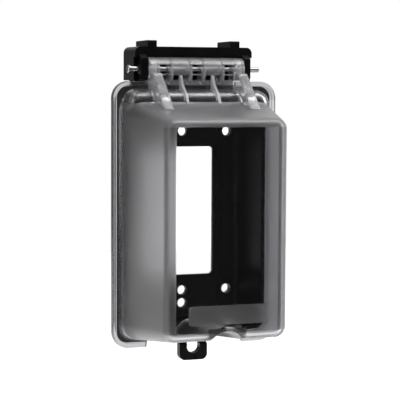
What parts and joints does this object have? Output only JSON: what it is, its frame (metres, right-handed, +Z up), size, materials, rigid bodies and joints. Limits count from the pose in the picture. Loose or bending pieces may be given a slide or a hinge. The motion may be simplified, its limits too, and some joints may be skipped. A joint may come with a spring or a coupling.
{
  "type": "weatherproof in use outlet cover",
  "caption": "Weatherproof outlet cover: a black tray with a hinge hood and padlock tab, and a deep clear lid that swings up on a steel pin and closes over a plugged-in cord.",
  "frame": {"origin": "on the wall, on the gasket's back face, midway between the two wall box screws", "axes": "+Z up along the screw line, +Y into the wall, +X to the viewer's right; the lid faces -Y"},
  "size_m": [0.088, 0.07, 0.1634],
  "materials": {
    "black_plastic": "moulded, satin to gloss black",
    "clear_polycarbonate": "polished clear front, hinge and flange; frosted sides and top",
    "bright_steel": "bright drawn stainless steel",
    "foam": "closed-cell foam"
  },
  "bodies": {
    "tray": {"base": "black_plastic", "wall_gasket": "foam", "hinge_pin": "bright_steel"},
    "cover": {"lid": "clear_polycarbonate"}
  },
  "joints": [
    {"name": "lid_hinge", "type": "hinge", "parent": "tray", "child": "cover", "pos_m": [0, -0.0205, 0.0734], "axis": [-1, 0, 0], "range_deg": [0, 95]}
  ]
}
